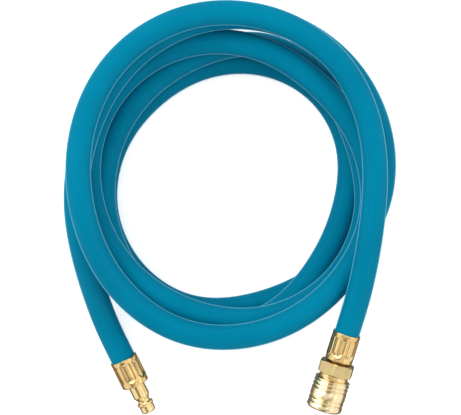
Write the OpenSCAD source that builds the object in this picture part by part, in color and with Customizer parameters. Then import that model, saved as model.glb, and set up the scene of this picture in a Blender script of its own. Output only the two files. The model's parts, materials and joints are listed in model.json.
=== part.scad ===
/* [Hose] */
// Outside diameter of the hose
hose_d = 16; // [15:0.1:16.2]
// Bore of the hose
hose_bore_d = 10; // [9:0.1:11]
// Length of hose held inside each ferrule
hose_insert = 16; // [14:0.5:16.5]
// Depth pressed flat where the hose lies on the floor
hose_flat = 1.6; // [0.4:0.1:2]

/* [Ferrules] */
// Wall of both ferrules
ferrule_wall = 0.7; // [0.6:0.05:1.2]
// Length of each ferrule
ferrule_len = 18.5; // [18.5:0.5:22]
// Thickness of the lip that closes each ferrule
lip_len = 1.4; // [1:0.1:1.8]
// How far the lip reaches in past the hose's outside
lip_reach = 1.3; // [1.1:0.1:1.6]
// Number of crimp flats round a ferrule
crimps = 6; // [5:1:8]
// Turn of the crimp flats at the coupling
coupling_crimp_turn = 194; // [160:1:220]
// Turn of the crimp flats at the plug
plug_crimp_turn = 188; // [160:1:220]
// Width of a crimp flat
crimp_w = 5.6; // [4:0.1:6]
// Depth of a crimp flat
crimp_depth = 0.4; // [0.2:0.05:0.45]

/* [Coupling body] */
// Width across the flats of the hexagon
hex_af = 21; // [20:0.1:24]
// Length of the hexagon
hex_len = 8; // [8:0.5:12]
// Clear length of neck between ferrule and hexagon
neck_gap = 1; // [0.8:0.1:3]
// Turn of the hexagon about the coupling's axis
hex_turn = 6; // [0:1:60]
// Air passage through the tail and the body
passage_d = 6; // [4:0.1:6.2]
// Length of the thread that joins body and socket
thread_len = 3.6; // [3.2:0.1:3.6]

/* [Socket and sleeve] */
// Bore that takes the plug
socket_bore_d = 10.6; // [10.2:0.1:10.8]
// How much the bore is opened behind its guiding mouth, each side
bore_relief = 0.25; // [0.2:0.05:0.4]
// Wall of the socket round that bore
socket_wall = 2.7; // [2.6:0.05:3]
// Height of the socket's rear collar
collar_height = 1.2; // [1:0.1:1.4]
// Length of the socket's rear collar
collar_len = 4.6; // [4:0.1:5]
// Distance from the hexagon to the locking balls
ball_place = 18; // [18:0.1:18]
// Length of the socket, from the hexagon to its mouth
socket_len = 23; // [23:0.5:26]
// Room for the spring between socket and sleeve
spring_room = 2; // [1.8:0.1:2.4]
// Wall of the sleeve round the spring
sleeve_wall = 1.3; // [1.2:0.05:1.8]
// Length of the sleeve
sleeve_len = 20.6; // [20:0.1:20.7]
// How far the sleeve slides back
sleeve_travel = 2.6; // [2.6:0.1:2.6]
// How far a locking ball stands into the bore
ball_bite = 0.7; // [0.6:0.05:0.7]
// Depth of the finger grooves in the sleeve
groove_depth = 0.55; // [0.3:0.05:0.8]

/* [Valve] */
// Distance from the hexagon to the valve's seat
seat_place = 8.6; // [8.6:0.1:8.6]
// Width of the seat's ledge inside the plug's bore
seat_ledge = 1.1; // [0.9:0.1:1.3]
// How far the valve opens
valve_travel = 2; // [1.5:0.1:2]
// Wire of the valve spring
valve_wire = 0.8; // [0.6:0.05:0.8]
// Wire of the sleeve spring
sleeve_wire = 0.9; // [0.7:0.05:0.9]

/* [Plug] */
// Clearance between the plug's body and the bore that takes it, on the diameter
plug_play = 0.1; // [0.1:0.05:0.3]
// Depth of the plug's groove
plug_groove_depth = 1.55; // [1.3:0.05:1.7]
// Length of the plug's groove, with the cone that leads into it
plug_groove_len = 4.2; // [4:0.1:4.6]
// Length of the plug's body
plug_body_len = 8.5; // [7:0.5:12]
// Length of the ring in front of the groove
plug_ring_len = 1.6; // [1.4:0.1:2]
// Length of the plug's nose
plug_nose_len = 5.5; // [5:0.1:5.5]

/* [Fits] */
// Clearance between parts that are screwed or pressed together
fit_gap = 0.1; // [0.05:0.01:0.15]
// Running clearance of the sleeve, the valve and the balls
run_gap = 0.1; // [0.06:0.01:0.12]

/* [Hidden] */
$fn = 96;
e = 0.01;

// Laps of the coil, from the coupling to the plug. Each pair is the reach from the coil's centre and
// the height above the floor level, at every lap_step degrees, counter-clockwise from first_angle.
lap_step = 30;
first_angle = -15;
lap_1 = [[92, 66], [94, 55], [101, 47], [102, 54], [102, 60], [99, 58],
         [93, 64], [91, 75], [97, 48], [103, 38], [101, 56], [98, 46]];
lap_2 = [[96, 32], [88, 34], [80, 35], [83, 34], [86, 30], [88, 26],
         [88, 28], [86, 33], [86, 35], [88, 29], [94, 39], [96, 29]];
lap_3 = [[93, 14], [84, 17], [86, 17], [88, 15], [77, 14], [74, 17],
         [75, 17], [80, 17], [87, 17], [98, 15], [96, 13], [81, 21]];
lap_4 = [[77, 2], [81, 0], [80, 0], [75, 0], [70, 0], [68, 0],
         [73, 0], [80, 0], [85, 0], [88, 0], [83, 0], [87, 0]];
lap_5 = [[99, 0], [102, 4], [103, 35], [102, 34], [98, 43], [93, 43], [90, 45], [96, 60]];
laps = concat(lap_1, lap_2, lap_3, lap_4, lap_5);

// Where the hose enters each ferrule, and the way each fitting points
coil_centre = [-3.54, 21.17, 0];
coupling_mouth = coil_centre + [76.1, -99.1, 56];
coupling_heading = 253;
coupling_tilt = 10;
plug_mouth = coil_centre + [-65.5, -116.5, 12];
plug_heading = -64;
plug_tilt = 9;
// Guide points of the straight ends, measured back from the end of the hose
coupling_guides = [-24, 0, 24, 48];
plug_guides = [50, 25, 0, -25];

hose_sides = 6;
rings_per_step = 2;
rest_z = hose_d / 2 - hose_flat;
bore_r = hose_bore_d / 2 / cos(180 / hose_sides);
cage = 3 / (2 + cos(lap_step));

// Derived diameters
ferrule_bore_d = hose_d + 2 * fit_gap;
ferrule_d = ferrule_bore_d + 2 * ferrule_wall;
lip_hole_d = hose_d - 2 * lip_reach;
socket_d = socket_bore_d + 2 * socket_wall;
collar_d = socket_d + 2 * collar_height;
chamber_wall_d = socket_d + 2 * spring_room;
sleeve_d = chamber_wall_d + 2 * sleeve_wall;
stop_d = collar_d + 0.4;
thread_d = socket_d - 1.2;
chamber_d = thread_d - 1.6;
seat_d = socket_bore_d - 2 * seat_ledge;
ball_d = socket_wall + ball_bite;
ball_travel = ball_bite + 0.05;
plug_body_d = socket_bore_d - plug_play;
plug_neck_d = plug_body_d - 2 * plug_groove_depth;
plug_ring_d = plug_body_d - 0.1;
plug_nose_d = plug_body_d - 1.3;

// Derived places along the coupling, from the ferrule's mouth towards the coupling's mouth
tail_d = hose_bore_d - 2 * fit_gap;
shoulder_d = hose_d - 2 * fit_gap;
neck_d = lip_hole_d - 2 * fit_gap;
hex_z = ferrule_len + neck_gap;
socket_z = hex_z + hex_len + fit_gap;
socket_end = socket_z + socket_len;
thread_end = socket_z + thread_len;
seal_len = 1.5;
spring_floor = socket_z - 2;
collar_end = socket_z + collar_len;
seat_z = socket_z + seat_place;
seat_len = 1.3;
ball_z = socket_z + ball_place;
ball_r = ball_d / 2;
ball_reach = socket_d / 2 - ball_r;
cam_r = socket_d / 2 + run_gap;
cam_z = ball_z;
cam_slope = ball_travel / sleeve_travel + 0.02;
cam_len = 2.8;
ridge_z = ball_z - 5;
sleeve_z = socket_end - sleeve_len + 0.4;
sleeve_end = sleeve_z + sleeve_len;
stop_z = cam_z + cam_len + fit_gap;
stop_len = 1;

// Uniform cubic spline through guide points
function weights(f) =
    [pow(1 - f, 3), 3 * pow(f, 3) - 6 * f * f + 4, -3 * pow(f, 3) + 3 * f * f + 3 * f + 1, pow(f, 3)] / 6;
function slopes(f) = [-pow(1 - f, 2), 3 * f * f - 4 * f, -3 * f * f + 2 * f + 1, f * f] / 2;
function four(list, i) = [for (k = [0:3]) list[i + k]];
function unit(v) = v / norm(v);

function aim(heading, tilt) = [cos(tilt) * cos(heading), cos(tilt) * sin(heading), -sin(tilt)];
coupling_aim = aim(coupling_heading, coupling_tilt);
plug_aim = aim(plug_heading, plug_tilt);

route = concat(
    [for (s = coupling_guides) coupling_mouth + (hose_insert - s) * coupling_aim],
    [for (i = [0:len(laps) - 1])
        let (a = first_angle + i * lap_step, r = laps[i][0] * cage)
        coil_centre + [r * cos(a), r * sin(a), rest_z + laps[i][1]]],
    [for (s = plug_guides) plug_mouth + (hose_insert - s) * plug_aim]);

spans = len(route) - 3;
ring_count = spans * rings_per_step + 1;
function span_of(k) = min(floor(k / rings_per_step), spans - 1);
function part_of(k) = k / rings_per_step - span_of(k);
centres = [for (k = [0:ring_count - 1]) weights(part_of(k)) * four(route, span_of(k))];
courses = [for (k = [0:ring_count - 1]) unit(slopes(part_of(k)) * four(route, span_of(k)))];

// One ring of points square to the course, with a flat side down, and none below the floor
function ring(centre, course, r, sides) =
    let (across = unit(cross(course, [0, 0, 1])), up = cross(across, course))
    [for (j = [0:sides - 1])
        let (a = 360 * j / sides, p = centre + r * cos(a) * across + r * sin(a) * up)
        [p[0], p[1], max(p[2], 0)]];

// Triangles between neighbouring rings, each of `sides` points
function skin(count, sides) =
    [for (i = [0:count - 2], j = [0:sides - 1])
        let (a = i * sides + j, b = i * sides + (j + 1) % sides)
        each [[a, b, b + sides], [a, b + sides, a + sides]]];
function join(last, sides) =
    [for (j = [0:sides - 1])
        let (a = last * sides + j, b = last * sides + (j + 1) % sides)
        each [[a, b, (j + 1) % sides], [a, (j + 1) % sides, j]]];
function caps(count, sides) =
    [for (j = [1:sides - 2])
        each [[0, j, j + 1], [(count - 1) * sides, (count - 1) * sides + j + 1, (count - 1) * sides + j]]];

// Least clear distance between two runs of the hose that are not neighbours along it
lap_rings = 360 / lap_step * rings_per_step;
gaps = [for (i = [0:ring_count - 1], k = [i + lap_rings / 4:1:ring_count - 1]) norm(centres[i] - centres[k])];
echo(hose_least_gap = min(gaps) - hose_d);
echo(hose_length = [for (s = 0, k = 0; k < ring_count; k = k + 1,
    s = s + (k < ring_count ? norm(centres[k] - centres[k - 1]) : 0)) s][ring_count - 1]);

module hose() {
    outer = [for (k = [0:ring_count - 1]) each ring(centres[k], courses[k], hose_d / 2, hose_sides)];
    inner = [for (k = [ring_count - 1:-1:0]) each ring(centres[k], courses[k], bore_r, hose_sides)];
    color("#0080a8")
        polyhedron(points = concat(outer, inner),
            faces = concat(skin(2 * ring_count, hose_sides), join(2 * ring_count - 1, hose_sides)));
}

module at_coupling() {
    translate(coupling_mouth) rotate([0, 90 + coupling_tilt, coupling_heading]) children();
}

module at_plug() {
    translate(plug_mouth) rotate([0, 90 + plug_tilt, plug_heading]) children();
}

// A round bar from z0 to z1
module bar(d, z0, z1) {
    translate([0, 0, z0]) cylinder(d = d, h = z1 - z0);
}

// A cone from z0 to z1
module cone(d0, d1, z0, z1) {
    translate([0, 0, z0]) cylinder(d1 = d0, d2 = d1, h = z1 - z0);
}

// Crimped ferrule: a cup with a holed lip, pressed flat in several places
module ferrule(turn) {
    length = ferrule_len;
    round_r = 2;
    difference() {
        union() {
            bar(ferrule_d, 0, length - round_r);
            bar(ferrule_d - 2 * round_r, 0, length);
            translate([0, 0, length - round_r]) rotate_extrude()
                translate([ferrule_d / 2 - round_r, 0]) intersection() {
                    circle(r = round_r);
                    square(round_r);
                }
        }
        bar(ferrule_bore_d, -1, length - lip_len);
        bar(lip_hole_d, 0, length + 1);
        for (i = [0:crimps - 1])
            rotate([0, 0, turn + i * 360 / crimps]) crimp_flat();
    }
}

module crimp_flat() {
    end_z = ferrule_len - crimp_w / 2 - 2.4;
    translate([ferrule_d / 2 - crimp_depth, 0, 0]) rotate([0, 90, 0]) linear_extrude(2) {
        translate([-end_z, 0]) circle(d = crimp_w);
        translate([-end_z, -crimp_w / 2]) square([end_z - 2.6, crimp_w]);
    }
}

// Barbed tail that the hose is pushed on to, up to a shoulder
module barbed_tail() {
    shoulder_end = ferrule_len - lip_len - fit_gap;
    barb_pitch = 3;
    barb_step = 0.5;
    bar(tail_d - 2 * barb_step, 1.5, hose_insert + 1);
    for (z = [2:barb_pitch:hose_insert - barb_pitch])
        cone(tail_d - 2 * barb_step, tail_d, z, z + barb_pitch - 0.6);
    bar(shoulder_d, hose_insert + fit_gap, shoulder_end);
}

module coupling_ferrule() {
    color("#c9a45c") at_coupling() ferrule(coupling_crimp_turn);
}

tail_end = hex_z + hex_len - 3;

module coupling_tail() {
    color("#b08848") at_coupling() difference() {
        union() {
            barbed_tail();
            bar(neck_d, hose_insert + 1, tail_end);
        }
        bar(passage_d, 0, tail_end + 1);
    }
}

module hex_body() {
    chamfer = 1.2;
    corner_d = hex_af / cos(30);
    cone_d = corner_d + 1;
    valve_room_d = seat_d + 1.2;
    color("#c4a860") at_coupling() difference() {
        union() {
            intersection() {
                translate([0, 0, hex_z]) rotate([0, 0, hex_turn]) cylinder(d = corner_d, h = hex_len, $fn = 6);
                union() {
                    cone(hex_af - 0.4, cone_d, hex_z, hex_z + chamfer);
                    bar(cone_d, hex_z + chamfer - e, hex_z + hex_len - chamfer + e);
                    cone(cone_d, hex_af - 0.4, hex_z + hex_len - chamfer, hex_z + hex_len);
                }
            }
            bar(thread_d, hex_z + hex_len - e, thread_end);
        }
        bar(neck_d + 2 * fit_gap, hex_z - 1, tail_end + fit_gap);
        bar(passage_d + 0.4, hex_z, thread_end + 1);
        bar(valve_room_d, spring_floor, thread_end + 1);
    }
}

module body_seal() {
    seal_r = seal_len / 2 - fit_gap / 2;
    color("#202020") at_coupling() translate([0, 0, thread_end + fit_gap + seal_r])
        rotate_extrude() translate([thread_d / 2 - seal_r - fit_gap / 2, 0]) circle(r = seal_r, $fn = 32);
}

groove_room = 2;
groove_d = socket_bore_d + 2;
bore_seal_r = (groove_room - 2 * fit_gap) / 2;
groove_z = seat_z + seat_len + 0.5;

// The bore guides the plug at its mouth, in front of the locking balls, and is a little wider behind
mouth_chamfer = 0.8;
room_d = socket_bore_d + 2 * bore_relief;
guide_z = ball_z + ball_d / 2 + run_gap;

module socket() {
    hole_lip = 0.8;
    hole_inner_d = ball_d - 0.45;
    hole_d = ball_d + run_gap;
    hole_start = socket_bore_d / 2 - 0.1 - ball_reach;
    color("#d8b870") at_coupling() difference() {
        union() {
            bar(collar_d, socket_z, collar_end);
            bar(socket_d, socket_z, socket_end - 0.6);
            cone(socket_d, socket_d - 1.2, socket_end - 0.6, socket_end);
        }
        bar(thread_d + 2 * fit_gap, socket_z - 1, thread_end + fit_gap + seal_len);
        bar(chamber_d, socket_z, seat_z);
        bar(seat_d, socket_z, socket_end + 1);
        bar(room_d, seat_z + seat_len, guide_z);
        bar(socket_bore_d, guide_z - e, socket_end + 1);
        cone(socket_bore_d, socket_bore_d + 2 * mouth_chamfer, socket_end - mouth_chamfer, socket_end + e);
        bar(groove_d, groove_z, groove_z + groove_room);
        difference() {
            bar(socket_d + 2, stop_z, stop_z + stop_len + fit_gap);
            bar(socket_d - 1.6, stop_z - 1, stop_z + stop_len + 1);
        }
        for (i = [0:5])
            at_ball(i) {
                translate([0, 0, hole_start - ball_d / 2]) cylinder(d = hole_inner_d, h = 2 * ball_d);
                translate([0, 0, hole_start]) cylinder(d1 = hole_inner_d, d2 = hole_d, h = hole_lip);
                translate([0, 0, hole_start + hole_lip - e]) cylinder(d = hole_d, h = ball_d);
            }
    }
}

// Turns the children so that their Z points outward through ball hole i, with Z = 0 at the ball's centre
module at_ball(i) {
    rotate([0, 0, 30 + 60 * i]) translate([ball_reach, 0, ball_z]) rotate([0, 90, 0]) children();
}

module locking_ball(i) {
    color("#e0e0e0") at_coupling() at_ball(i) sphere(d = ball_d, $fn = 32);
}

module socket_seal() {
    color("#202020") at_coupling() translate([0, 0, groove_z + groove_room / 2])
        rotate_extrude() translate([groove_d / 2 - bore_seal_r - fit_gap / 2, 0]) circle(r = bore_seal_r, $fn = 32);
}

module stop_ring() {
    gap_w = 3;
    color("#b0b0b0") at_coupling() difference() {
        bar(stop_d, stop_z + fit_gap / 2, stop_z + stop_len);
        bar(socket_d - 1.5, stop_z - 1, stop_z + stop_len + 1);
        translate([-socket_d, -gap_w / 2, stop_z - 1]) cube([socket_d, gap_w, stop_len + 2]);
    }
}

rear_grooves = 3;
front_grooves = 2;
groove_pitch = 2.6;
rear_lip = 1.4;

module sleeve() {
    bevel = 1.2;
    collar_gap = 0.15;
    cam_end_r = cam_r + cam_slope * cam_len;
    color("#dcc078") at_coupling() difference() {
        union() {
            cone(sleeve_d - 1.2, sleeve_d, sleeve_z, sleeve_z + 0.6);
            bar(sleeve_d, sleeve_z + 0.6, sleeve_end - bevel);
            cone(sleeve_d, sleeve_d - 2 * bevel, sleeve_end - bevel, sleeve_end);
        }
        bar(collar_d + 2 * collar_gap, sleeve_z - 1, ridge_z);
        bar(chamber_wall_d, sleeve_z + rear_lip, ridge_z);
        bar(2 * cam_r, sleeve_z, cam_z + e);
        cone(2 * cam_r, 2 * cam_end_r, cam_z, cam_z + cam_len);
        bar(stop_d + 0.4, cam_z + cam_len - e, sleeve_end + 1);
        for (i = [0:rear_grooves - 1])
            finger_groove(sleeve_z + 1.5 + i * groove_pitch);
        for (i = [0:front_grooves - 1])
            finger_groove(sleeve_end - bevel - 3.4 - i * groove_pitch);
    }
}

module finger_groove(z) {
    groove_r = 0.75;
    translate([0, 0, z]) rotate_extrude()
        translate([sleeve_d / 2 + groove_r - groove_depth, 0]) circle(r = groove_r, $fn = 32);
}

// Closed coil spring along Z, from z0 to z1, as one wire
module coil_spring(mean_d, wire, turns, z0, z1, steps = 16, sides = 6) {
    count = turns * steps + 1;
    rise = z1 - z0 - wire;
    points = [for (k = [0:count - 1], j = [0:sides - 1])
        let (a = 360 * k / steps, b = 360 * j / sides, r = mean_d / 2 + wire / 2 * cos(b))
        [r * cos(a), r * sin(a), z0 + wire / 2 + rise * k / (count - 1) + wire / 2 * sin(b)]];
    polyhedron(points = points, faces = concat(skin(count, sides), caps(count, sides)));
}

module sleeve_spring() {
    color("#909090") at_coupling()
        coil_spring((socket_d + chamber_wall_d) / 2, sleeve_wire, 4, collar_end + fit_gap, ridge_z - fit_gap);
}

poppet_z = seat_z - 1.5;
stem_d = 4;
stem_len = 6.4;
valve_spring_d = seat_d - 0.6;
pusher_end = seat_z + seat_len + 0.1 + valve_travel;
flange_len = 1;
flange_d = chamber_d - 1.6;

module valve_poppet() {
    color("#d0b068") at_coupling() {
        bar(stem_d, poppet_z - stem_len, poppet_z);
        bar(flange_d, poppet_z - flange_len, poppet_z);
        bar(stem_d + 0.4, poppet_z - e, pusher_end);
        difference() {
            bar(seat_d - 0.8, seat_z - 0.2, pusher_end);
            for (a = [0:90:270])
                rotate([0, 0, a]) translate([3.6, 0, seat_z]) cube([2.8, 2.2, 20], center = true);
        }
    }
}

module valve_seal() {
    color("#202020") at_coupling() difference() {
        bar(flange_d - 0.4, poppet_z, seat_z - 0.25);
        bar(stem_d + 0.6, poppet_z - 1, seat_z + 1);
    }
}

module valve_spring() {
    color("#909090") at_coupling()
        coil_spring(valve_spring_d, valve_wire, 5, spring_floor + fit_gap, poppet_z - flange_len - fit_gap);
}

module plug_ferrule() {
    color("#c9a45c") at_plug() ferrule(plug_crimp_turn);
}

plug_body_end = ferrule_len + plug_body_len;
plug_cone_len = plug_groove_len - 1.8;
plug_ring_z = plug_body_end + plug_groove_len;
plug_end = plug_ring_z + plug_ring_len + plug_nose_len;

module plug() {
    chamfer = 0.8;
    color("#cda75e") at_plug() difference() {
        union() {
            barbed_tail();
            bar(neck_d, hose_insert + 1, ferrule_len + 0.6);
            bar(plug_body_d, ferrule_len, plug_body_end);
            cone(plug_body_d, plug_neck_d, plug_body_end - e, plug_body_end + plug_cone_len);
            bar(plug_neck_d, plug_body_end, plug_ring_z + e);
            cone(plug_ring_d - 1, plug_ring_d, plug_ring_z, plug_ring_z + 0.4);
            bar(plug_ring_d, plug_ring_z + 0.4, plug_ring_z + plug_ring_len);
            cone(plug_ring_d, plug_nose_d, plug_ring_z + plug_ring_len - e, plug_ring_z + plug_ring_len + 0.8);
            bar(plug_nose_d, plug_ring_z, plug_end - chamfer);
            cone(plug_nose_d, plug_nose_d - 2 * chamfer, plug_end - chamfer, plug_end);
        }
        bar(passage_d - 1, 0, plug_end + 1);
    }
}

hose();
coupling_ferrule();
coupling_tail();
hex_body();
body_seal();
socket();
socket_seal();
stop_ring();
sleeve();
sleeve_spring();
locking_ball(0);  // locking_ball_1
locking_ball(1);  // locking_ball_2
locking_ball(2);  // locking_ball_3
locking_ball(3);  // locking_ball_4
locking_ball(4);  // locking_ball_5
locking_ball(5);  // locking_ball_6
valve_poppet();
valve_seal();
valve_spring();
plug_ferrule();
plug();
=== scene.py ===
# %% [markdown]
# # Coiled air hose
#
# The object is a flexible air hose that lies in an open coil on a pale floor. A quick coupling is crimped
# to one end and a plug to the other. Its packed CAD solids are the frame: they give every piece its place
# and the body it moves with.
#
# The hose, the ferrules, the hexagon, the sleeve and the plug are made again here with finer shapes. They
# could be modelled by hand, but all of them are bent, turned or pressed, so formulas suit them and give
# the same mesh each time. The small parts inside the coupling keep their CAD meshes and only get better
# materials, because little of them can be seen.

# %% Load the CAD frame
import json
import math

import bpy
import numpy as np
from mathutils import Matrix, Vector

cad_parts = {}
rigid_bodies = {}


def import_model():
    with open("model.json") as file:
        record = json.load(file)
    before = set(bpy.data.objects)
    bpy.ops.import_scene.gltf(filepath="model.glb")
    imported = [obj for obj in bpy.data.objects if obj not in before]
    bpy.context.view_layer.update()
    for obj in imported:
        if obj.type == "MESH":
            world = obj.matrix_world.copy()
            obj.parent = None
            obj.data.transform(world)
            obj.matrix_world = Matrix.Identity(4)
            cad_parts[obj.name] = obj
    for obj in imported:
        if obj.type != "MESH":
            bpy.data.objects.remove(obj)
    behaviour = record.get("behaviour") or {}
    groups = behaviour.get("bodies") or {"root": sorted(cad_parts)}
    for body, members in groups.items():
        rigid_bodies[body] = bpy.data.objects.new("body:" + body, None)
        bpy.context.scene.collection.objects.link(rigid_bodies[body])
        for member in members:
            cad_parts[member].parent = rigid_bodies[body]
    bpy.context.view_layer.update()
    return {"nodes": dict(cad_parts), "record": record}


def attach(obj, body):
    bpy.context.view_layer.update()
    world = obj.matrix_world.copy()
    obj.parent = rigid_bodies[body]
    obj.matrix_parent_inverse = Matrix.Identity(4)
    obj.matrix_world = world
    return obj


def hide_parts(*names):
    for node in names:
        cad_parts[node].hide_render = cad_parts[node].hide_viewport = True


MM = 0.001
scene = bpy.context.scene
for old in list(bpy.data.objects):
    bpy.data.objects.remove(old)
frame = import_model()
nodes = frame["nodes"]
print("CAD nodes:", len(nodes))

# %% [markdown]
# ## The laps of the hose
#
# A hose is coiled by hand, so no two laps are alike: they wander in and out and climb over one another. A
# regular spiral would look false. The laps are written down one by one instead, as pairs of reach, which is
# the distance from the coil's centre, and height above a hose that rests on the floor. There is one pair
# every 30 degrees, from the coupling's end to the plug's. They are the same numbers as in the part's
# source, so the fine hose lies where the plain one does.

# %% Measures of the laps
HOSE_D = 16 * MM
FLAT = 1.6 * MM
REST_Z = HOSE_D / 2 - FLAT
LAP_STEP = 30
FIRST_ANGLE = -15
LAPS = MM * np.array([
    [92, 66], [94, 55], [101, 47], [102, 54], [102, 60], [99, 58],
    [93, 64], [91, 75], [97, 48], [103, 38], [101, 56], [98, 46],
    [96, 32], [88, 34], [80, 35], [83, 34], [86, 30], [88, 26],
    [88, 28], [86, 33], [86, 35], [88, 29], [94, 39], [96, 29],
    [93, 14], [84, 17], [86, 17], [88, 15], [77, 14], [74, 17],
    [75, 17], [80, 17], [87, 17], [98, 15], [96, 13], [81, 21],
    [77, 2], [81, 0], [80, 0], [75, 0], [70, 0], [68, 0],
    [73, 0], [80, 0], [85, 0], [88, 0], [83, 0], [87, 0],
    [99, 0], [102, 4], [103, 35], [102, 34], [98, 43], [93, 43], [90, 45], [96, 60]])
COIL_CENTRE = np.array([-3.54, 21.17, 0]) * MM
print("turns written down:", round(len(LAPS) * LAP_STEP / 360, 1))

# %% [markdown]
# ## Where the two fittings lie
#
# Each fitting is a row of round pieces on one straight axis, which slopes down a little towards the floor.
# The pieces could be made upright and turned into place afterwards. Here a small class holds the axis and
# gives points beside it, so that the pieces and the end of the hose share the very same line.

# %% The fittings' axes
class Place:
    """Where a fitting's ferrule begins, and the way the fitting points."""

    def __init__(self, mouth, heading, tilt):
        h, t = math.radians(heading), math.radians(tilt)
        self.mouth = COIL_CENTRE + np.array(mouth) * MM
        self.aim = np.array([math.cos(t) * math.cos(h), math.cos(t) * math.sin(h), -math.sin(t)])
        self.down = np.array([-math.sin(t) * math.cos(h), -math.sin(t) * math.sin(h), -math.cos(t)])
        self.side = np.array([-math.sin(h), math.cos(h), 0.0])

    def at(self, s, r=0.0, angle=0.0):
        """Points at a distance s along the fitting, at radius r, turned by angle from straight down."""
        s, r, angle = (np.asarray(v, float)[..., None] for v in (s, r, angle))
        return self.mouth + s * self.aim + r * (np.cos(angle) * self.down + np.sin(angle) * self.side)


coupling = Place([76.1, -99.1, 56], 253, 10)
plug_end = Place([-65.5, -116.5, 12], -64, 9)
print("coupling aims", coupling.aim.round(2), "and plug aims", plug_end.aim.round(2))

# %% [markdown]
# ## The hose's route
#
# A hose bends without a kink, so its centre line has to be smooth through every lap. A curve object would
# do, but its handles would have to be set one by one. A uniform cubic spline is smooth by itself. It
# passes near its guide points and not through them, so the guides of the laps stand a little further out
# to make up for it. The last guides at each end lie on the fitting's axis, and the hose enters each
# ferrule straight.

# %% Guides and spline
INSERT = 16 * MM
COUPLING_GUIDES = MM * np.array([-24, 0, 24, 48])
PLUG_GUIDES = MM * np.array([50, 25, 0, -25])
POINTS_PER_SPAN = 20


def guide_points():
    angle = np.radians(FIRST_ANGLE + LAP_STEP * np.arange(len(LAPS)))
    reach = LAPS[:, 0] * 3 / (2 + math.cos(math.radians(LAP_STEP)))
    height = REST_Z + LAPS[:, 1]
    laps = COIL_CENTRE + np.stack([reach * np.cos(angle), reach * np.sin(angle), height], axis=1)
    return np.vstack([coupling.at(INSERT - COUPLING_GUIDES), laps, plug_end.at(INSERT - PLUG_GUIDES)])


def spline(guides, per_span):
    """Points, and unit directions, of the uniform cubic spline over the guides."""
    f = np.arange(per_span) / per_span
    value = np.stack([(1 - f) ** 3, 3 * f**3 - 6 * f**2 + 4,
                      -3 * f**3 + 3 * f**2 + 3 * f + 1, f**3], axis=1) / 6
    slope = np.stack([-(1 - f) ** 2, 3 * f**2 - 4 * f,
                      -3 * f**2 + 2 * f + 1, f**2], axis=1) / 2
    end_value, end_slope = np.array([0, 1, 4, 1]) / 6, np.array([0, -1, 0, 1]) / 2
    groups = [guides[i:i + 4] for i in range(len(guides) - 3)]
    points = np.vstack([value @ g for g in groups] + [end_value @ groups[-1]])
    ways = np.vstack([slope @ g for g in groups] + [end_slope @ groups[-1]])
    return points, ways / np.linalg.norm(ways, axis=1)[:, None]


centre_line, courses = spline(guide_points(), POINTS_PER_SPAN)

# %% [markdown]
# ## Meshes from rings
#
# Every piece here is a surface of rings, round the hose's line or round a fitting's axis. A Screw modifier
# or a bevelled curve could make such surfaces too. A grid of points was chosen, because it can be pushed in
# where a die has pressed, and because its UVs come with it. Their first direction runs along the piece and
# the second round it, so that drawn lines, painted shade and painted highlights can follow the way the piece
# was made.

# %% Grid of faces
CRISP_ANGLE = 35


def new_mesh(name, points, faces, uvs, sharp_angle=CRISP_ANGLE, rides="line"):
    """A smooth-shaded object whose edges over the sharp angle stay crisp. uvs has a pair per face corner."""
    mesh = bpy.data.meshes.new(name)
    mesh.from_pydata([tuple(p) for p in points], [], [tuple(f) for f in faces])
    layer = mesh.uv_layers.new(name="UVMap")
    layer.data.foreach_set("uv", np.asarray(uvs, np.float32).ravel())
    mesh.shade_smooth()
    mesh.set_sharp_from_angle(angle=math.radians(sharp_angle))
    mesh.validate()
    obj = bpy.data.objects.new(name, mesh)
    scene.collection.objects.link(obj)
    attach(obj, rides)
    return obj


def grid_faces(rows, cols, row_closed=False):
    """Quads over a grid that closes round its columns, and their UVs."""
    i, j = np.meshgrid(np.arange(rows if row_closed else rows - 1), np.arange(cols), indexing="ij")
    i, j = i.ravel(), j.ravel()
    up, right = (i + 1) % rows, (j + 1) % cols
    faces = np.stack([i * cols + j, i * cols + right, up * cols + right, up * cols + j], axis=1)
    along = np.stack([i, i, i + 1, i + 1], axis=1) / rows
    around = np.stack([j, j + 1, j + 1, j], axis=1) / cols
    return faces, np.stack([along, around], axis=2)


print("a tube of 2 rings with 40 points has", len(grid_faces(2, 40)[0]), "faces")

# %% [markdown]
# ## The hose
#
# The real hose is soft PVC, 16 mm across, and its own weight presses it flat where it rests on the floor.
# A curve with a round bevel would be quicker to make, but it has no flat and no UVs that follow the hose.
# So a ring of 40 points is set square to the route at each of its points, and what would go below the
# floor is lifted to it. A fan of triangles closes each end inside its ferrule.

# %% Tube along the route
HOSE_SIDES = 40
HOSE_CRISP_ANGLE = 60


def tube(name, line, ways, radius, sides):
    across = np.cross(ways, [0, 0, 1.0])
    across /= np.linalg.norm(across, axis=1)[:, None]
    up = np.cross(across, ways)
    a = 2 * math.pi * np.arange(sides) / sides
    ring = np.cos(a)[None, :, None] * across[:, None] + np.sin(a)[None, :, None] * up[:, None]
    points = line[:, None] + radius * ring
    points[..., 2] = np.maximum(points[..., 2], 0.0)
    faces, uvs = grid_faces(len(line), sides)
    points = np.vstack([points.reshape(-1, 3), line[0], line[-1]])
    last, first = len(points) - 1, len(points) - 2
    end = (len(line) - 1) * sides
    caps = [(first, (j + 1) % sides, j) for j in range(sides)]
    caps += [(last, end + j, end + (j + 1) % sides) for j in range(sides)]
    faces = [tuple(f) for f in faces] + caps
    corner_uvs = np.vstack([uvs.reshape(-1, 2), np.zeros((3 * len(caps), 2))])
    return new_mesh(name, points, faces, corner_uvs, HOSE_CRISP_ANGLE)


hose = tube("hose_tube", centre_line, courses, HOSE_D / 2, HOSE_SIDES)
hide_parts("hose")
print("hose faces", len(hose.data.polygons))

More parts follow.
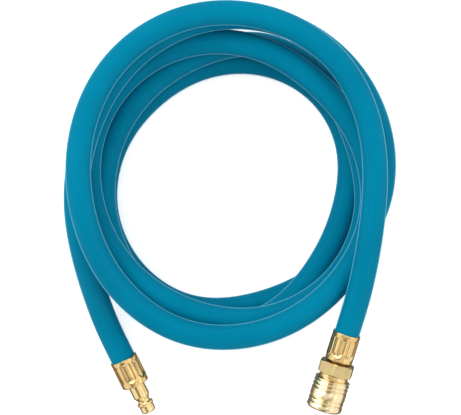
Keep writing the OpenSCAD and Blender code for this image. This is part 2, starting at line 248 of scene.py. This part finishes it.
# %% [markdown]
# ## Turned pieces
#
# A lathe makes the fittings, and their small rounded edges catch the light as thin bright lines. A Bevel
# modifier rounds edges too, but with one width for all. Here every corner of a profile has its own radius,
# drawn as a short arc. Long edges are cut into shorter ones where a piece is pressed or milled later,
# because only a point can be moved.

# %% Rounded profiles and turning
LONGEST_CUT = 0.48


def rounded(corners, samples):
    """A closed profile of corners (s, r, corner radius) in millimetres, with its corners rounded."""
    out = []
    pts = np.array([corner[:2] for corner in corners], float)
    for k, (_, _, radius) in enumerate(corners):
        p, a, b = pts[k], pts[k - 1], pts[(k + 1) % len(pts)]
        la, lb = np.linalg.norm(a - p), np.linalg.norm(b - p)
        d = min(radius, LONGEST_CUT * la, LONGEST_CUT * lb)
        p0, p2 = p + (a - p) / la * d, p + (b - p) / lb * d
        for t in np.linspace(0, 1, samples):
            out.append((1 - t) ** 2 * p0 + 2 * t * (1 - t) * p + t**2 * p2)
    return np.array(out)


def filled(profile, longest):
    """The same closed profile with its long edges cut into shorter ones."""
    out = []
    for k, p in enumerate(profile):
        q = profile[(k + 1) % len(profile)]
        n = max(1, math.ceil(np.linalg.norm(q - p) / longest))
        out += [p + (q - p) * t / n for t in range(n)]
    return np.array(out)


def turned(name, place, profile, steps, shape=None, turn=0.0, rides="line", sharp_angle=CRISP_ANGLE):
    """The closed profile swept round the fitting's axis. shape(s, r, angle) may change the radius."""
    angle = np.radians(turn) + 2 * math.pi * np.arange(steps) / steps
    s, a = np.meshgrid(profile[:, 0], angle, indexing="ij")
    r = np.repeat(profile[:, 1:2], steps, axis=1)
    if shape is not None:
        r = shape(s, r, a)
    points = place.at(s.ravel() * MM, r.ravel() * MM, a.ravel())
    faces, uvs = grid_faces(len(profile), steps, row_closed=True)
    return new_mesh(name, points, faces, uvs, sharp_angle, rides)


square = rounded([(0, 1, 0.1), (1, 1, 0.1), (1, 2, 0.1), (0, 2, 0.1)], 4)
print("a rounded square has", len(square), "points, and filled", len(filled(square, 0.2)))

# %% [markdown]
# ## Crimped ferrules
#
# A ferrule is a brass cup that grips the hose. A press closes six dies on it, and each leaves a long flat
# that ends in a round bowl near the closed end. Between two flats the metal stands up as a low ridge.
# Boolean cuts would leave hard edges where pressed metal is soft. So the cup is turned first, and the
# points of its outside are then moved in or out by a formula of their place.

# %% Pressed flats
FERRULE_LEN = 18.5
FERRULE_R = 8.8
FLAT_HALF = 3.6
FLAT_START = 2.4
FLAT_END = 15.9
FLAT_DEPTH = 0.55
BOWL_DEPTH = 0.35
RIDGE_HEIGHT = 0.16
RUN_IN = 1.3
OUTER_SKIN = 0.62


def ease(x):
    """A smooth step from 0 to 1."""
    x = np.clip(x, 0, 1)
    return x * x * (3 - 2 * x)


def crimped(turn):
    """Presses six long round-ended flats into the outside of a ferrule."""
    def shape(s, r, a):
        sector = (a - math.radians(turn) + math.pi / 6) % (math.pi / 3) - math.pi / 6
        across = FERRULE_R * np.abs(sector)
        past = np.maximum(s - (FLAT_END - FLAT_HALF), 0)
        reach = np.hypot(across, past)
        run_in = ease((s - FLAT_START) / RUN_IN)
        wall = 0.8 + 1.4 * ease(past / 1.2)
        inside = ease((FLAT_HALF - reach) / wall) * run_in
        ridge = RIDGE_HEIGHT * ease((FLAT_HALF + 0.75 - reach) / 0.7) * (1 - inside) * run_in
        pressed_in = (FLAT_DEPTH + BOWL_DEPTH * ease(past / 1.6)) * inside
        return r + np.where(r > FERRULE_R - OUTER_SKIN, ridge - pressed_in, 0)
    return shape


print("one flat is", 2 * FLAT_HALF, "mm wide and", round(FLAT_END - FLAT_START, 1), "mm long")

# %% [markdown]
# ## One ferrule on each end
#
# Both ends of the hose have the same ferrule, and the press closed at another angle on each. One mesh
# could be used twice and rotated. But a mesh of its own for each end lies straight on the fitting's axis,
# and its UVs start at its own first flat, which the painted shade along the flats needs later.

# %% Two ferrules
FERRULE_STEPS = 288
HOSE_ROOM_R = 8.15
BEAD_R = 8.9
TAIL_HOLE_R = 6.72
BOTTOM = 17.1
ferrule_profile = filled(rounded([
    (0, HOSE_ROOM_R, 0.1), (0, BEAD_R, 0.25), (1.2, BEAD_R, 0.5), (1.9, FERRULE_R, 0.5),
    (FERRULE_LEN, FERRULE_R, 3.0), (FERRULE_LEN, TAIL_HOLE_R, 0.2),
    (BOTTOM, TAIL_HOLE_R, 0.1), (BOTTOM, HOSE_ROOM_R, 0.1)], 9), 0.45)
ferrules = {}
for key, place, turn, node in (("coupling", coupling, 194, "coupling_ferrule"),
                               ("plug", plug_end, 188, "plug_ferrule")):
    piece = turned(key + "_ferrule_pressed", place, ferrule_profile, FERRULE_STEPS, crimped(turn), turn)
    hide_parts(node)
    ferrules[key] = piece
print("ferrules:", sorted(ferrules))

# %% [markdown]
# ## The coupling's hexagon
#
# The coupling's body has a hexagon for a 21 mm spanner. It is milled from a round bar, so its corners end
# in small cones, and use has worn them a little. A six-sided cylinder with a bevel would lack the curved
# lines where flat and cone meet. Here a round body is turned, and each point is moved in to the flat, the
# cone or the worn corner, whichever lies deepest.

# %% Hexagon
HEX_AF = 21
HEX_TURN = 6
HEX_START = 19.5
HEX_END = 27.5
HEX_STEPS = 288
HEX_CRISP_ANGLE = 24
BAR_R = 12.13
FACE_R = 10.2
NECK_HOLE_R = 6.7
THREAD_R = 7.5
THREAD_LEN = 2.9
CONE_START = 0.2
CONE_SLOPE = 1.75
CORNER_WEAR = 0.4
HOLE_MARGIN_R = 9


def hexagonal(s, r, a):
    """Cuts the outside to a hexagon, with chamfer cones at both ends."""
    sector = (a - math.radians(HEX_TURN)) % (math.pi / 3) - math.pi / 6
    flat = HEX_AF / 2 / np.cos(sector)
    edge = np.minimum(s - HEX_START, HEX_END - s)
    cone = HEX_AF / 2 - CONE_START + edge * CONE_SLOPE
    worn_corner = HEX_AF / 2 / math.cos(math.pi / 6) - CORNER_WEAR
    milled = np.minimum(np.minimum(np.minimum(r, flat), cone), worn_corner)
    return np.where(r > HOLE_MARGIN_R, milled, r)


hex_profile = filled(rounded([
    (HEX_START, NECK_HOLE_R, 0.1), (HEX_START, FACE_R, 0.05), (HEX_START, BAR_R, 0.02),
    (HEX_END, BAR_R, 0.02), (HEX_END, FACE_R, 0.05), (HEX_END, THREAD_R, 0.05),
    (HEX_END - THREAD_LEN, THREAD_R, 0.05), (HEX_END - THREAD_LEN, NECK_HOLE_R, 0.05)], 3), 0.3)
hexagon = turned("hexagon_machined", coupling, hex_profile, HEX_STEPS, hexagonal, HEX_TURN,
                 sharp_angle=HEX_CRISP_ANGLE)
print("hexagon faces", len(hexagon.data.polygons))

# %% [markdown]
# ## The coupling's sleeve
#
# The sleeve is pulled back by hand to let the plug go. Three grooves at its rear and two at its front give
# the fingers a hold, and each is a round channel cut by the lathe. A bump texture could fake them, but a
# groove shows in the outline too. So they are cut in the profile, nine points for each. The sleeve rides
# on its own body and slides back with the joint.

# %% Sleeve
SLEEVE = (30.4, 51.0)
SLEEVE_R = 11.3
SLEEVE_STEPS = 192
SLEEVE_CRISP_ANGLE = 40
REAR_GROOVES = [31.9, 34.5, 37.1]
FRONT_GROOVES = [43.8, 46.4]
GROOVE_HALF = 0.82
GROOVE_DEPTH = 0.6
GROOVE_ROUNDNESS = 1.2


def grooved_outside():
    """The sleeve's outside, from its rear edge to its front, with a round groove at each place."""
    edge = [(SLEEVE[0], 10.75, 0.15), (SLEEVE[0] + 0.55, SLEEVE_R, 0.2)]
    for middle in REAR_GROOVES + FRONT_GROOVES:
        for t in np.linspace(-1, 1, 9):
            depth = GROOVE_DEPTH * math.cos(t * math.pi / 2) ** GROOVE_ROUNDNESS if abs(t) < 1 else 0
            edge.append((middle + GROOVE_HALF * t, SLEEVE_R - depth, 0.08))
    return edge + [(SLEEVE[1] - 1.25, SLEEVE_R, 0.3), (SLEEVE[1], 10.15, 0.2)]


sleeve_inside = [
    (51.0, 9.6, 0.15), (48.4, 9.6, 0.05), (48.4, 8.96, 0.05), (45.6, 8.1, 0.05), (40.6, 8.1, 0.05),
    (40.6, 10.0, 0.05), (31.8, 10.0, 0.05), (31.8, 9.35, 0.05), (30.4, 9.35, 0.1)]
sleeve_profile = rounded(grooved_outside() + sleeve_inside, 3)
sleeve = turned("sleeve_turned", coupling, sleeve_profile, SLEEVE_STEPS, rides="lock_sleeve",
                sharp_angle=SLEEVE_CRISP_ANGLE)
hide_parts("sleeve")
print("sleeve faces", len(sleeve.data.polygons))

# %% [markdown]
# ## The plug
#
# The plug goes into another coupling. Behind its slim nose it has a ring and a groove, where a coupling's
# balls lock, then a cone and a plain body. It is one turned piece, so one profile gives all of it. Its
# barbed tail and the hexagon's thread are out of sight inside other pieces. They are not made here, and
# the CAD nodes behind these two pieces are only replaced.

# %% Plug
PLUG_STEPS = 144
plug_profile = rounded([
    (17.1, 2.5, 0.05), (17.1, 6.6, 0.05), (19.1, 6.6, 0.25), (19.1, 5.25, 0.15), (27.0, 5.25, 0.5),
    (29.4, 3.7, 0.5), (31.2, 3.7, 0.25), (31.2, 4.9, 0.15), (31.6, 5.2, 0.2), (32.8, 5.2, 0.25),
    (33.6, 4.6, 0.4), (37.5, 4.6, 0.4), (38.3, 3.8, 0.2), (38.3, 2.5, 0.2)], 5)
nose = turned("plug_turned", plug_end, plug_profile, PLUG_STEPS)
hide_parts("hex_body")
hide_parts("plug")
print("plug faces", len(nose.data.polygons))

# %% [markdown]
# ## The hose stays stiff
#
# The real hose bends, and a mesh can't say so. Here it is left as a stiff shape, so its length and its
# route as a bending cord are lost.

# %% [markdown]
# ## Shader maths
#
# A finish is drawn by shader nodes, and most of them are sums. They could be linked by hand, one by one,
# but then nobody can read the formula. The small class below wraps the output of a node. Arithmetic on it
# adds Math nodes, and one method makes any other node.

# %% Node arithmetic
class Value:
    """One output of a node. Arithmetic on it adds Math nodes."""

    def __init__(self, tree, socket):
        self.tree, self.socket = tree, socket

    def node(self, kind, inputs=(), out=0, **settings):
        """Any node. Its settings come first, then a Value or a number for each socket named in inputs."""
        made = self.tree.nodes.new(kind)
        for key, value in settings.items():
            setattr(made, key, value)
        for key, value in dict(inputs).items():
            if isinstance(value, Value):
                self.tree.links.new(value.socket, made.inputs[key])
            else:
                made.inputs[key].default_value = value
        return Value(self.tree, made.outputs[out])

    def calc(self, operation, *others):
        """A Math node on this value, and on the others after it."""
        return self.node("ShaderNodeMath", enumerate((self, *others)), operation=operation)

    def __add__(self, other):
        return self.calc("ADD", other)

    def __sub__(self, other):
        return self.calc("SUBTRACT", other)

    def __rsub__(self, other):
        return self.node("ShaderNodeMath", {0: other, 1: self}, operation="SUBTRACT")

    def __mul__(self, other):
        return self.calc("MULTIPLY", other)

    def __truediv__(self, other):
        return self.calc("DIVIDE", other)

    def __pow__(self, other):
        return self.calc("POWER", other)

    __radd__ = __add__
    __rmul__ = __mul__

    def clamped(self):
        return self.node("ShaderNodeClamp", {0: self})

    def ramp(self, low, high):
        """0 below low, 1 above high, smooth between."""
        return self.node("ShaderNodeMapRange", {0: self, 1: low, 2: high, 3: 0.0, 4: 1.0},
                         interpolation_type="SMOOTHSTEP")

    def part(self, axis):
        """One part of a vector, counted from 0."""
        return self.node("ShaderNodeSeparateXYZ", {0: self}, out=axis)

    def along(self, way):
        """How far a vector reaches in a unit direction."""
        return self.node("ShaderNodeVectorMath", {0: self, 1: tuple(way)}, out=1, operation="DOT_PRODUCT")

    def noise(self, scale, detail=2.0, roughness=0.5):
        """Noise at this place, from 0 to 1."""
        return self.node("ShaderNodeTexNoise", {"Vector": self, "Scale": scale, "Detail": detail,
                                                "Roughness": roughness}, out="Fac")

    def blend(self, low, high):
        """A colour between two colours, by this factor. Sockets 6 and 7 of a Mix node take colours."""
        return self.node("ShaderNodeMix", {"Factor": self, 6: low, 7: high}, out=2, data_type="RGBA")


print("operators:", [name for name in vars(Value) if name.strip("_") in ("add", "sub", "rsub", "mul", "pow")])

# %% [markdown]
# ## Colours and materials
#
# Colours are easiest to write as screen values from 0 to 255, but a shader counts light, so they are
# turned into linear numbers first. Every material here is a Principled shader, which fits plastic, metal
# and rubber alike. A finish is a function that sets the shader's inputs and returns the height of its fine
# grain. The grain goes through a Bump node, as it is far too small to be modelled.

# %% Colour and material helpers
def rgb(red, green, blue):
    """A colour given in screen values from 0 to 255."""
    def linear(v):
        v /= 255
        return v / 12.92 if v <= 0.04045 else ((v + 0.055) / 1.055) ** 2.4
    return (linear(red), linear(green), linear(blue), 1.0)


def material(name, finish):
    """A material. finish(place, uv, put) puts the shader's inputs and returns the bump's three inputs."""
    made = bpy.data.materials.new(name)
    made.use_nodes = True
    tree = made.node_tree
    shader = tree.nodes["Principled BSDF"]
    coords = tree.nodes.new("ShaderNodeTexCoord")
    place, uv = Value(tree, coords.outputs["Object"]), Value(tree, coords.outputs["UV"])

    def put(**values):
        for key, value in values.items():
            socket = shader.inputs[key.replace("_", " ")]
            if isinstance(value, Value):
                tree.links.new(value.socket, socket)
            else:
                socket.default_value = value

    height, distance, strength = finish(place, uv, put)
    put(Normal=place.node("ShaderNodeBump", {"Height": height, "Distance": distance, "Strength": strength}))
    return made


print("middle grey is", round(rgb(128, 128, 128)[0], 3), "in a shader")

# %% [markdown]
# ## The hose's PVC
#
# The hose has a smooth teal wall. The pale line along both rims is a sheen painted into the base colour.
# The shader's own Sheen could make it, but it gives thin grey lines. So the colour pales by Layer Weight,
# which grows where the surface turns away. Faint lines from the extruder run along the hose. They are
# noise on a ring, which has no seam where the UVs meet. Clouds of tone and rubbed patches keep the wall
# from looking like one flat colour.

# %% Finish of the hose
RIM_STARTS = 0.58
RIM_FULL = 0.78
LINE_STRETCH = 4.9


def hose_look(place, uv, put):
    """Flexible PVC, with a sheen painted into its base colour at the rims."""
    angle = uv.part(1) * (2 * math.pi)
    ring = place.node("ShaderNodeCombineXYZ", {0: angle.calc("SINE"), 1: angle.calc("COSINE"),
                                               2: uv.part(0) * LINE_STRETCH})
    drawn_lines = ring.noise(9, 3, 0.6)
    cloud = place.noise(34, 3)
    rubbed = place.noise(95, 4, 0.65).ramp(0.52, 0.74)
    grain = place.noise(1900)
    tone = (cloud * 0.55 + drawn_lines * 0.45).ramp(0.3, 0.7)
    wall = tone.blend(rgb(0, 115, 146), rgb(0, 124, 155))
    # painted sheen: the base colour pales to light teal where the surface turns away from the view
    painted_rim_sheen = place.node("ShaderNodeLayerWeight", {"Blend": 0.5}, out="Facing").ramp(RIM_STARTS, RIM_FULL)
    put(Base_Color=painted_rim_sheen.blend(wall, rgb(92, 178, 206)), Specular_IOR_Level=0.03,
        Roughness=0.34 + rubbed * 0.1 + drawn_lines * 0.05)
    return drawn_lines * 0.6 + grain * 0.25, 0.03 * MM, 0.2


looks = {"hose": material("hose_pvc", hose_look)}
print("materials:", sorted(looks))

# %% [markdown]
# ## Brass
#
# All the fittings are brass, but no two finishes are the same: pressed, milled, turned and polished. A
# material could be built for each by hand. One function makes them all instead, from a light and a dark
# tone that drift over the surface, with small dull stains that are a little rougher than the rest.

# %% Finish of the brass
BRASS_GRAIN = 0.02 * MM
# colour of the painted shade along the edges of the pressed flats
CREASE_SHADE_COLOUR = rgb(132, 92, 54)


def brass_look(light, dark, roughness, stain=0.25, painted_light=None, painted_light_colour=CREASE_SHADE_COLOUR):
    """Brass of two drifting tones with dull stains. An optional mask paints a shade or highlight colour over
    it.
    """
    def finish(place, uv, put):
        drift = place.noise(120, 3)
        stains = place.noise(420, 4, 0.7).ramp(0.5, 0.78)
        grain = place.noise(2600)
        colour = (drift.ramp(0.3, 0.7) * 0.7 + stains * stain).clamped().blend(light, dark)
        # painted shade or painted highlight, laid over the brass where the mask says
        if painted_light is not None:
            colour = painted_light(place, uv).blend(colour, painted_light_colour)
        put(Base_Color=colour, Metallic=1.0,
            Roughness=roughness + stains * 0.08 + drift * 0.06 + grain * 0.03)
        return grain * 0.3, BRASS_GRAIN, 0.2
    return finish


looks.update({
    # painted shade: a dark brown brass for the coupling's tail, which shows only in the narrow gap
    "neck_painted_shade_brass": material("neck_painted_shade_brass", brass_look(rgb(150, 100, 66), rgb(124, 82, 54), 0.36)),
    "sleeve_brass": material("sleeve_brass", brass_look(rgb(252, 232, 188), rgb(238, 214, 164), 0.14)),
    "plug_brass": material("plug_brass", brass_look(rgb(248, 220, 160), rgb(226, 192, 128), 0.16)),
    "inner_brass": material("inner_brass", brass_look(rgb(250, 222, 164), rgb(224, 184, 124), 0.2))})
print("materials:", sorted(looks))

# %% [markdown]
# ## Painted shade and highlight on the brass
#
# This could be painted on an image, but a formula stays sharp at any size. Two masks say where it goes.
# One is a dark band of painted shade along the edge of each pressed flat. The other is a painted highlight
# along the hexagon's corners. Both repeat six times round the piece, so both start from
# how far a place lies from the middle of its own sixth.

# %% Painted shade on the ferrules and painted highlight on the hexagon
# colour of the painted highlight along the hexagon's corners
CORNER_HIGHLIGHT_COLOUR = rgb(255, 236, 176)
PRESSED_TONES = (rgb(240, 206, 142), rgb(222, 184, 120))
MILLED_TONES = (rgb(208, 184, 130), rgb(190, 166, 114))


def off_middle(uv):
    """How far a place lies from the middle of its sixth of the way round, as a share of that sixth."""
    return ((uv.part(1) * 6 + 0.5).calc("FRACT") - 0.5).calc("ABSOLUTE")


def painted_crease_shade(fitting):
    """Painted shade along the edge of each pressed flat."""
    def mask(place, uv):
        along = (place.along(fitting.aim) - float(fitting.mouth @ fitting.aim)) / MM
        across = off_middle(uv) * (FERRULE_R * math.pi / 3)
        past = (along - (FLAT_END - FLAT_HALF)).calc("MAXIMUM", 0.0)
        reach = (across * across + past * past) ** 0.5
        # painted shade: a dark band on the wall where each flat meets its ridge
        near_edge = reach.ramp(FLAT_HALF - 1.0, FLAT_HALF - 0.6)
        over_edge = reach.ramp(FLAT_HALF - 0.3, FLAT_HALF + 0.2)
        patchy = 0.55 + place.noise(900) * 0.4
        return near_edge * (1 - over_edge) * along.ramp(2.2, 4.0) * (1 - past.ramp(0.8, 2.2)) * patchy
    return mask


def painted_corner_highlight(place, uv):
    """Painted highlight along the hexagon's corners."""
    # painted highlight: a bright line along each corner of the hexagon
    return (1 - off_middle(uv).ramp(0.05, 0.08)) * (0.7 + place.noise(600) * 0.3)


for key, fitting in (("ferrule_brass", coupling), ("plug_ferrule_brass", plug_end)):
    looks[key] = material(key, brass_look(*PRESSED_TONES, 0.16, stain=0.1, painted_light=painted_crease_shade(fitting)))
looks["hex_brass"] = material("hex_brass", brass_look(*MILLED_TONES, 0.26, painted_light=painted_corner_highlight,
                                                      painted_light_colour=CORNER_HIGHLIGHT_COLOUR))
print("materials:", sorted(looks))

# %% [markdown]
# ## Steel and rubber
#
# The balls, the springs and the stop ring are steel, and the seals are black rubber. They sit inside the
# coupling and hardly show, so two plain finishes will do. Both still vary a little in tone and gloss,
# because one even value looks like paint.

# %% Finish of steel and rubber
def steel_look(place, uv, put):
    drift = place.noise(200, 3)
    put(Base_Color=drift.ramp(0.3, 0.7).blend(rgb(196, 198, 202), rgb(168, 170, 176)), Metallic=1.0,
        Roughness=0.2 + drift * 0.12)
    return place.noise(3000), 0.03 * MM, 0.3


def rubber_look(place, uv, put):
    drift = place.noise(300, 3)
    put(Base_Color=drift.blend(rgb(22, 22, 24), rgb(38, 38, 40)), Roughness=0.55 + drift * 0.15)
    return place.noise(2500, 3), 0.05 * MM, 0.4


for key, finish in (("seal_rubber", rubber_look), ("spring_steel", steel_look), ("ball_steel", steel_look)):
    looks[key] = material(key, finish)
print("materials:", sorted(looks))

# %% [markdown]
# ## Putting the finishes on
#
# The pieces made here get their finish by name. The CAD nodes could be dressed by name too, but they take
# theirs from the slot that the record gives them, so that none is forgotten. One node is an exception. The
# coupling's tail shows only in the gap between ferrule and hexagon, and it gets a dark brown brass there,
# which is painted shade for that gap.

# %% Dress every piece
def dress(obj, made):
    obj.data.materials.clear()
    obj.data.materials.append(made)


made_here = ((hose, "hose"), (ferrules["coupling"], "ferrule_brass"),
             (ferrules["plug"], "plug_ferrule_brass"), (hexagon, "hex_brass"),
             (sleeve, "sleeve_brass"), (nose, "plug_brass"))
for piece, key in made_here:
    dress(piece, looks[key])
for part in frame["record"]["subparts"]:
    # the coupling's tail gets the dark brass of painted shade instead of its slot's finish
    key = "neck_painted_shade_brass" if part["node"] == "coupling_tail" else part["material_slot"]
    dress(nodes[part["node"]], looks[key])

# %% [markdown]
# ## The floor
#
# The hose lies on plain white paper. Strong lamps could make a grey floor white, but they would wash out
# the hose too. So the paper glows a little, and Light Path lets only the camera see that glow, which
# leaves the light on the object as it is. The plane lies 0.2 mm low, so that it doesn't flicker through
# the flat of the hose. Metal doesn't mirror it, because the world below gives the brass its dark tones.

# %% Floor
FLOOR_HALF = 3
FLOOR_DROP = 0.2 * MM
WHITE = (1, 1, 1, 1)
BLACK = (0, 0, 0, 1)


def floor_look(place, uv, put):
    speck = place.noise(60, 3)
    seen = place.node("ShaderNodeLightPath", out="Is Camera Ray")
    put(Base_Color=speck.blend(rgb(238, 238, 238), rgb(244, 244, 244)), Roughness=0.9,
        Emission_Color=seen.blend(BLACK, WHITE), Emission_Strength=0.5)
    return speck, 0.1 * MM, 0.1


corners = [(x * FLOOR_HALF, y * FLOOR_HALF, -FLOOR_DROP) for x, y in ((-1, -1), (1, -1), (1, 1), (-1, 1))]
mesh = bpy.data.meshes.new("floor")
mesh.from_pydata(corners, [], [(0, 1, 2, 3)])
floor = bpy.data.objects.new("floor", mesh)
scene.collection.objects.link(floor)
floor.data.materials.append(material("floor_paper", floor_look))
floor.visible_glossy = False
print("floor is", 2 * FLOOR_HALF, "m square")

# %% [markdown]
# ## The lamps
#
# Soft plastic and polished metal want different light. Broad lamps from above suit the hose, but metal
# only shows what it mirrors, and it would look flat under them. A studio sets up reflectors for it. The
# same is done here with light linking: some lamps reach only a collection of metal pieces. Those lamps can
# be seen in the metal, and the broad ones can't.

# %% Lamps
def group(name, pieces):
    made = bpy.data.collections.new(name)
    for piece in pieces:
        made.objects.link(piece)
    return made


def area_light(name, place, size, power, only=None):
    """A lamp that faces the origin. only is the collection it lights, or None for everything."""
    light = bpy.data.lights.new(name, "AREA")
    light.shape, light.size, light.size_y, light.energy = "RECTANGLE", size[0], size[1], power
    obj = bpy.data.objects.new(name, light)
    obj.location = place
    obj.rotation_euler = (-Vector(place)).to_track_quat("-Z", "Y").to_euler()
    scene.collection.objects.link(obj)
    obj.visible_camera = False
    obj.visible_glossy = only is not None
    if only is not None:
        obj.light_linking.receiver_collection = only


cad_metal = [node for name, node in nodes.items() if name != "hose"]
metal = group("metal", [*ferrules.values(), hexagon, sleeve, nose, *cad_metal])
polished = group("polished", [sleeve])
pressed = group("pressed", [*ferrules.values(), nose])

area_light("key_light", (-0.9, 0.75, 1.5), (0.9, 0.9), 13)
area_light("fill_light", (1.3, -0.5, 1.2), (1.2, 1.2), 6)
area_light("back_light", (0.1, 1.7, 0.7), (1.4, 0.5), 4)
area_light("top_light", (-0.2, 0.1, 2.4), (1.2, 1.2), 16)
area_light("metal_window", (-0.7, 0.12, 0.9), (0.5, 1.1), 2.5, only=metal)
area_light("metal_right", (0.95, -0.3, 1.3), (1.2, 1.5), 3.0, only=metal)
area_light("metal_ceiling", (0.0, -0.6, 1.5), (1.3, 0.5), 1.3, only=metal)
area_light("pressed_back", (-0.15, 1.1, 1.1), (2.0, 1.2), 26, only=pressed)
area_light("sleeve_window", (-0.8, 0.12, 0.75), (0.8, 1.2), 7.5, only=polished)
print("lamps:", len(bpy.data.lights))

# %% [markdown]
# ## The room
#
# The brass also mirrors the room around it. A picture of a studio could be used as the world, but a few
# tones are enough: a bright band of walls, a dimmer ceiling and a dark ground. A dark strip over the
# coupling, between two windows, gives its sleeve the dark lines that polished metal has.

# %% World
DIM_CEILING = 0.8
DARK_STRIP = 0.92
GROUND_TONE = (0.2, 0.18, 0.15, 1)
WALL_TONE = (0.95, 0.97, 1.0, 1)
world = bpy.data.worlds.new("room")
world.use_nodes = True
scene.world = world
background = world.node_tree.nodes["Background"]
coords = world.node_tree.nodes.new("ShaderNodeTexCoord")
way = Value(world.node_tree, coords.outputs["Generated"])
height = way.part(2)
walls = height.ramp(-0.45, -0.3)
ceiling = height.ramp(0.55, 0.85)
between_windows = 1 - (way.along(coupling.side) + 0.02).calc("ABSOLUTE").ramp(0.16, 0.24)
bright = walls * (1 - ceiling * DIM_CEILING) * (1 - between_windows * DARK_STRIP)
tones = bright.blend(GROUND_TONE, WALL_TONE)
world.node_tree.links.new(tones.socket, background.inputs["Color"])
background.inputs["Strength"].default_value = 1.1
print("world nodes:", len(world.node_tree.nodes))

# %% [markdown]
# ## The camera
#
# The coil is seen from straight above. A camera near it would show the high laps larger than the low ones,
# so it stands 3 m up, and a long lens brings the coil back to size: one pixel is 0.64 mm on the floor. The
# view transform is Standard, so that a colour renders as it is written.

# %% Camera
CAMERA_HEIGHT = 3.0
PIXEL = 0.64 * MM
FRAME_WIDTH = 461
SENSOR = 36
BESIDE_CENTRE = (2.9 * MM, -20.2 * MM)
camera = bpy.data.objects.new("camera", bpy.data.cameras.new("camera"))
scene.collection.objects.link(camera)
scene.camera = camera
camera.location = (COIL_CENTRE[0] + BESIDE_CENTRE[0], COIL_CENTRE[1] + BESIDE_CENTRE[1], CAMERA_HEIGHT)
camera.rotation_euler = (0, 0, 0)
camera.data.sensor_width = SENSOR
camera.data.lens = SENSOR * CAMERA_HEIGHT / (FRAME_WIDTH * PIXEL)
camera.data.clip_start, camera.data.clip_end = 0.1, 20
scene.view_settings.view_transform = "Standard"
print("lens", round(camera.data.lens), "mm")

# %% [markdown]
